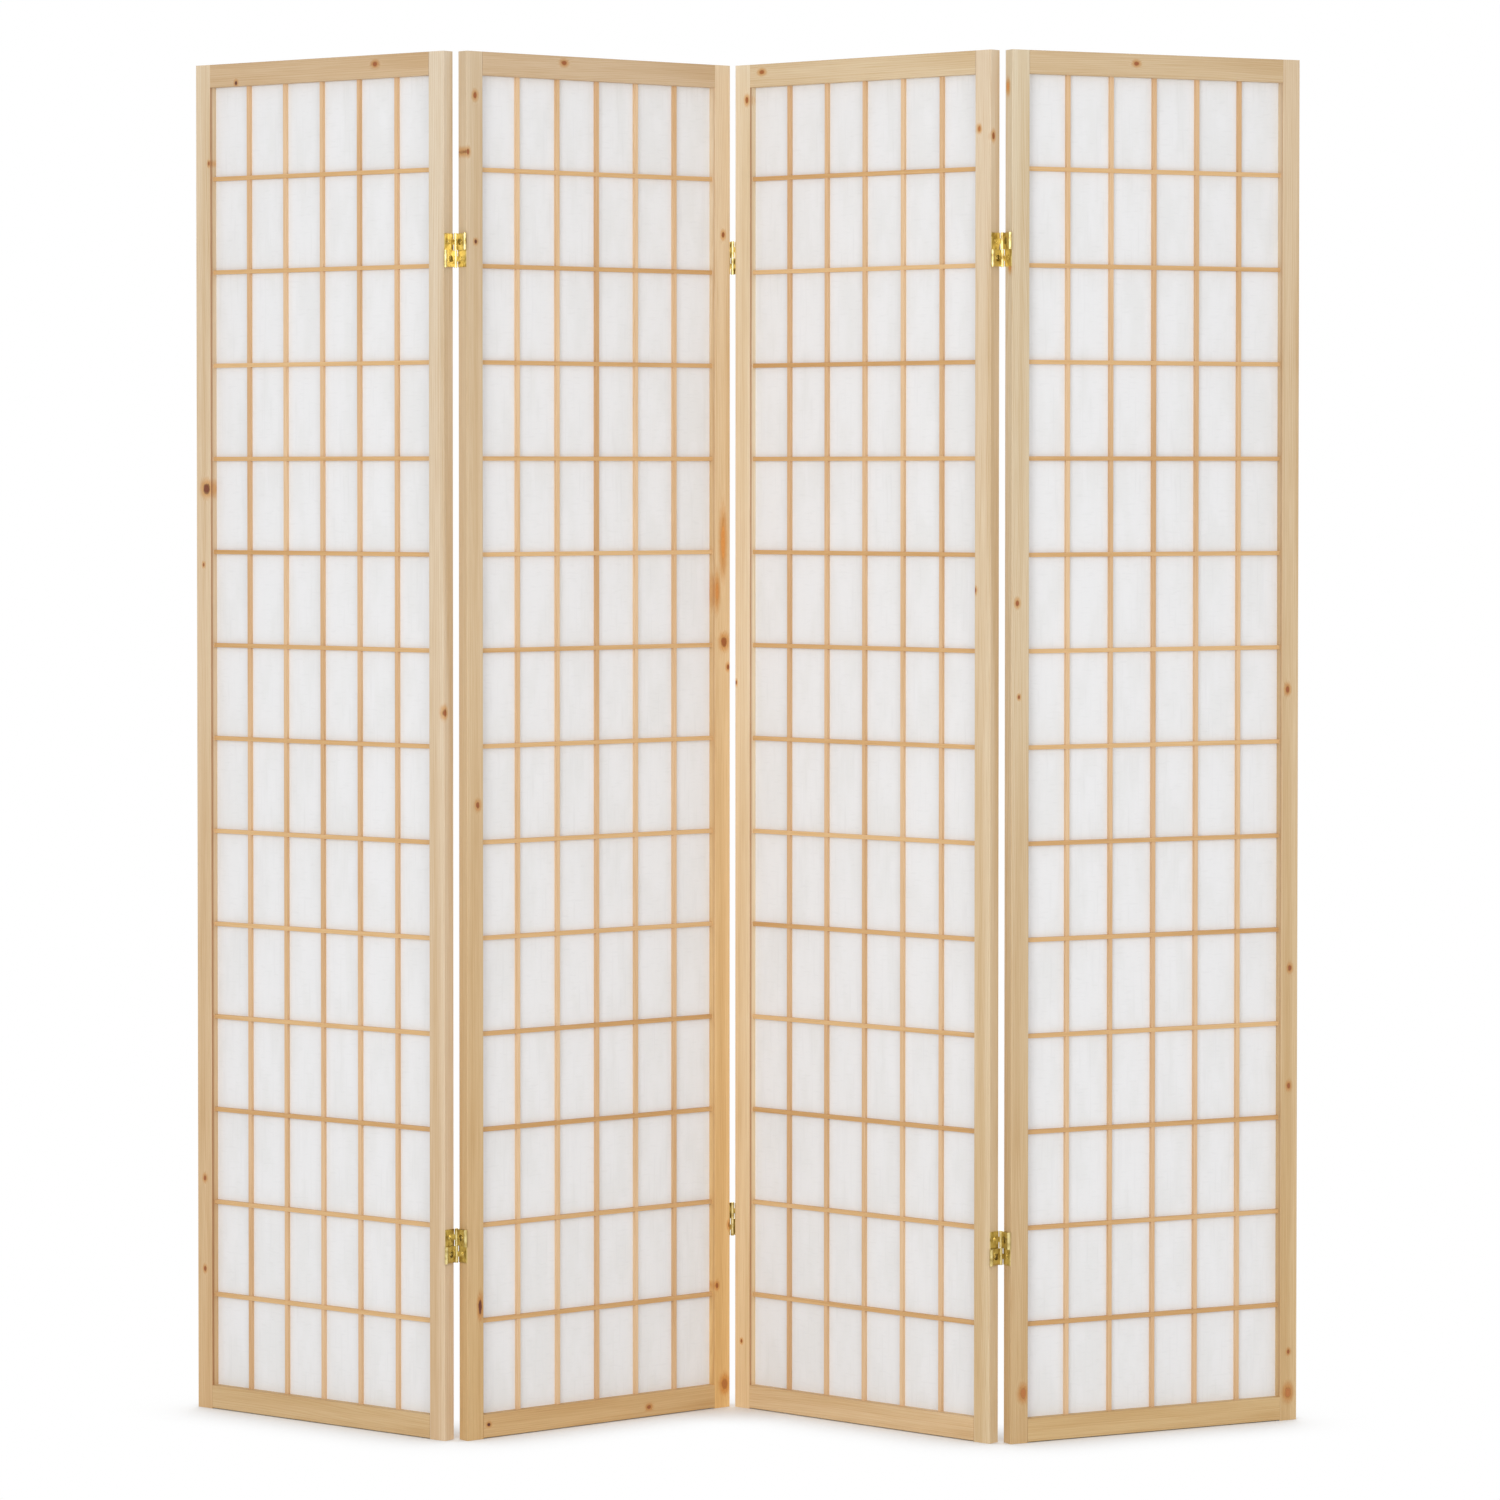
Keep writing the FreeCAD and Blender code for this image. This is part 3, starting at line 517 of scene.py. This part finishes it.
def lattice_pine(name, panel, grain, tones, origin, pitch, seed):
    """Pine for a set of like bars, each a little lighter or darker than the next."""
    finish, tree = new_finish(name)
    surface = add_node(tree, "ShaderNodeTexCoord").outputs
    position = within_panel(tree, surface["Object"], panel)
    spread = split(tree, position)["X" if grain == "up" else "Z"]
    from_first = reckon(tree, "SUBTRACT", spread, origin)
    bar = reckon(tree, "FLOOR", reckon(tree, "MULTIPLY_ADD", from_first, 1 / pitch, 0.5))
    choice = chance(tree, reckon(tree, "ADD", bar, seed))
    along = turn_grain(tree, position) if grain == "across" else position
    elsewhere = join(tree, choice, choice, reckon(tree, "MULTIPLY", choice, 9))
    figure = apply_effect(
        tree,
        growth,
        position=reckon_vector(tree, "ADD", along, elsewhere),
        pith=(0.08, -0.05, 0),
        lean=0.012,
        ring_width=0.0013,
    )
    colour = tint_grain(tree, stain(tree, choice, *tones), figure, 0.45, 0.7)
    lay_on(tree, colour, *grain_feel(tree, figure), *wood_relief)
    return finish


for panel in panel_places:
    finish_node(
        f"lattice_uprights_panel_{panel}",
        lattice_pine(
            f"lattice uprights panel {panel} pine",
            panel,
            "up",
            upright_tones,
            stile_width - bar_width / 2,
            (opening_width + bar_width) / bays_across,
            panel * bar_seed,
        ),
    )
    finish_node(
        f"lattice_crossbars_panel_{panel}",
        lattice_pine(
            f"lattice crossbars panel {panel} pine",
            panel,
            "across",
            crossbar_tones,
            floor_gap + rail_height - bar_width / 2,
            (opening_height + bar_width) / bays_up,
            panel * bar_seed + crossbar_seed,
        ),
    )

# ----------------------------------------------------------------------------------------
# Paper. One sheet of strong white paper, made of long plant fibres, is glued to the back of
# each lattice and reaches to the frame on all four sides.
# ----------------------------------------------------------------------------------------

# The paper's tone at the top and at the floor; the floor tone is a little lighter, painted light.
paper_high = tone(233, 233, 234)
paper_low = tone(235, 235, 236)
pulp_tint = tone(251, 251, 250)
fibre_shade = tone(251, 251, 251)
paper_relief = 0.15, 0.0001

paper_fibre, given, result = new_effect(
    "paper fibre", [("Position", "Vector", (0, 0, 0))], ["Pulp", "Threads"]
)
pulp = mottle(paper_fibre, given["Position"], (38, 38, 14), 3)
upright_threads = mottle(paper_fibre, given["Position"], (300, 300, 16), 2)
level_threads = mottle(paper_fibre, given["Position"], (70, 70, 300), 2)
threads = reckon(paper_fibre, "MAXIMUM", upright_threads, level_threads)
paper_fibre.links.new(fade(paper_fibre, pulp, 0.38, 0.66), result["Pulp"])
paper_fibre.links.new(fade(paper_fibre, threads, 0.52, 0.78), result["Threads"])

for panel in panel_places:
    finish, tree = new_finish(f"paper panel {panel}")
    surface = add_node(tree, "ShaderNodeTexCoord").outputs
    position = within_panel(tree, surface["Object"], panel)
    sheet = apply_effect(tree, paper_fibre, position=position)
    # Painted light: the paper grows a little lighter towards the floor, lifting the shade there.
    level = reckon(tree, "DIVIDE", split(tree, position)["Z"], panel_height, clamp=True)
    colour = stain(tree, level, paper_low, paper_high)
    colour = stain(tree, sheet["Pulp"], colour, pulp_tint, "MULTIPLY")
    colour = stain(tree, sheet["Threads"], colour, fibre_shade, "MULTIPLY")
    roughness = reckon(tree, "MULTIPLY_ADD", sheet["Threads"], -0.1, 0.85)
    relief = reckon(tree, "MULTIPLY_ADD", sheet["Threads"], 0.6, sheet["Pulp"])
    lay_on(tree, colour, roughness, relief, *paper_relief)
    finish_node(f"paper_sheet_panel_{panel}", finish)

# ----------------------------------------------------------------------------------------
# Hinges. At each joint an upper and a lower double-action hinge of pressed brass: a leaf on
# each edge, two crossed links between them, and pins with small riveted heads.
# ----------------------------------------------------------------------------------------

brass_relief = 0.15, 0.0001

worn_metal, given, result = new_effect(
    "worn metal", [("Position", "Vector", (0, 0, 0))], ["Scratches", "Tarnish"]
)
scratches = mottle(worn_metal, given["Position"], (2600, 2600, 160), 3)
tarnish = mottle(worn_metal, given["Position"], (190, 190, 120), 4)
worn_metal.links.new(scratches, result["Scratches"])
worn_metal.links.new(fade(worn_metal, tarnish, 0.42, 0.7), result["Tarnish"])


def brass(name, bright, dull, smooth):
    finish, tree = new_finish(name)
    position = add_node(tree, "ShaderNodeTexCoord").outputs["Object"]
    wear = apply_effect(tree, worn_metal, position=position)
    scratched = reckon(tree, "MULTIPLY_ADD", wear["Scratches"], 0.16, smooth)
    tarnished = reckon(tree, "MULTIPLY", wear["Tarnish"], 0.12)
    roughness = reckon(tree, "ADD", scratched, tarnished)
    colour = stain(tree, wear["Tarnish"], bright, dull)
    tree.nodes["Principled BSDF"].inputs["Metallic"].default_value = 1
    lay_on(tree, colour, roughness, wear["Scratches"], *brass_relief)
    return finish


hinge_brass = brass("hinge brass", tone(216, 198, 138), tone(170, 146, 82), 0.22)
pin_brass = brass("pin brass", tone(214, 194, 132), tone(172, 146, 84), 0.18)
leaves = [(1, "right"), (2, "left"), (2, "right"), (3, "left"), (3, "right"), (4, "left")]
for panel, side in leaves:
    finish_node(f"{side}_leaf_panel_{panel}", hinge_brass)
for joint in ("1_2", "2_3", "3_4"):
    finish_node(f"upper_link_joint_{joint}", hinge_brass)
    finish_node(f"lower_link_joint_{joint}", hinge_brass)
for panel in panel_places:
    finish_node(f"hinge_pins_panel_{panel}", pin_brass)

# ----------------------------------------------------------------------------------------
# Screws. Brass countersunk screws with a domed, cross-cut head hold every leaf to its stile,
# brighter than the leaves because their heads were polished.
# ----------------------------------------------------------------------------------------

screw_brass = brass("screw brass", tone(238, 222, 166), tone(208, 186, 118), 0.14)
for panel in panel_places:
    finish_node(f"hinge_screws_panel_{panel}", screw_brass)

# ----------------------------------------------------------------------------------------
# Studio. A seamless white floor that keeps a soft shadow, soft light from all round with
# the most from the front left, and the camera about two thirds of the way up.
# ----------------------------------------------------------------------------------------

floor_size = 60
floor_drop = 0.0001
shadow_reach = 0.14
sky_strength = 0.66


def seen_rays(tree):
    """1 for what the camera sees, also in a reflection or through glass, and 0 for light."""
    rays = add_node(tree, "ShaderNodeLightPath").outputs
    indirect = reckon(tree, "MAXIMUM", rays["Is Glossy Ray"], rays["Is Transmission Ray"])
    return reckon(tree, "MAXIMUM", rays["Is Camera Ray"], indirect)


bpy.ops.object.select_all(action="DESELECT")
bpy.ops.mesh.primitive_plane_add(size=floor_size, location=(0, 0, -floor_drop))
floor = bpy.context.object
floor.name = "studio_floor"
floor_white, tree = new_finish("floor white")
shader = tree.nodes["Principled BSDF"]
shader.inputs["Base Color"].default_value = tone(242, 242, 242)
shader.inputs["Roughness"].default_value = 0.9
shader.inputs["Specular IOR Level"].default_value = 0

# Near the screen's foot the floor shows its own shading; elsewhere it is plain white.
seen = seen_rays(tree)
openness = add_node(tree, "ShaderNodeAmbientOcclusion", {"Distance": shadow_reach})
near_foot = fade(tree, openness.outputs["AO"], 1.0, 0.4)
away = reckon(tree, "SUBTRACT", seen, reckon(tree, "MULTIPLY", near_foot, seen))
white = add_node(tree, "ShaderNodeEmission", {"Color": (1, 1, 1, 1), "Strength": 1})
shares = {0: away, 1: shader.outputs["BSDF"], 2: white.outputs["Emission"]}
lit = add_node(tree, "ShaderNodeMixShader", shares)
tree.links.new(lit.outputs["Shader"], tree.nodes["Material Output"].inputs["Surface"])
floor.data.materials.append(floor_white)

world = bpy.data.worlds.new("studio")
bpy.context.scene.world = world
world.use_nodes = True
tree = world.node_tree
sky = tree.nodes["Background"]
sky.inputs["Color"].default_value = (1, 1, 1, 1)
brightness = reckon(tree, "MULTIPLY_ADD", seen_rays(tree), 1 - sky_strength, sky_strength)
tree.links.new(brightness, sky.inputs["Strength"])


def softbox(name, place, aim, width, power):
    """A square lamp that faces the point aim."""
    lamp = bpy.data.lights.new(name, "AREA")
    lamp.shape = "SQUARE"
    lamp.size = width
    lamp.energy = power
    box = bpy.data.objects.new(name, lamp)
    bpy.context.scene.collection.objects.link(box)
    box.location = place
    across, back, up = (end - start for start, end in zip(place, aim))
    box.rotation_euler = (
        math.atan2(math.hypot(across, back), -up),
        0,
        math.atan2(-across, back),
    )


softbox("left softbox", (-2.2, -5.6, 1.9), (0, 0, 0.7), 2.4, 100)
softbox("right softbox", (2.2, -5.4, 1.6), (0, 0, 0.6), 2.4, 52)
softbox("rear softbox", (0.6, 5.4, 2.4), (0, 0, 0.8), 2.4, 90)

# The camera as it was fitted to the picture, in the picture's own pixels.
picture_width = 1500
focal_length = 5555
centre_across = 673.4
camera_tilt = 1.3207
camera = bpy.data.cameras.new("camera")
camera.sensor_width = 36
camera.lens = focal_length / picture_width * camera.sensor_width
camera.shift_x = (picture_width / 2 - centre_across) / picture_width
camera.shift_y = -0.10
camera_stand = bpy.data.objects.new("camera", camera)
bpy.context.scene.collection.objects.link(camera_stand)
camera_stand.location = (-0.0928, -7.2263, 1.2428)
camera_stand.rotation_euler = (math.radians(90 - camera_tilt), 0, 0)
bpy.context.scene.camera = camera_stand
bpy.context.scene.view_settings.view_transform = "Standard"
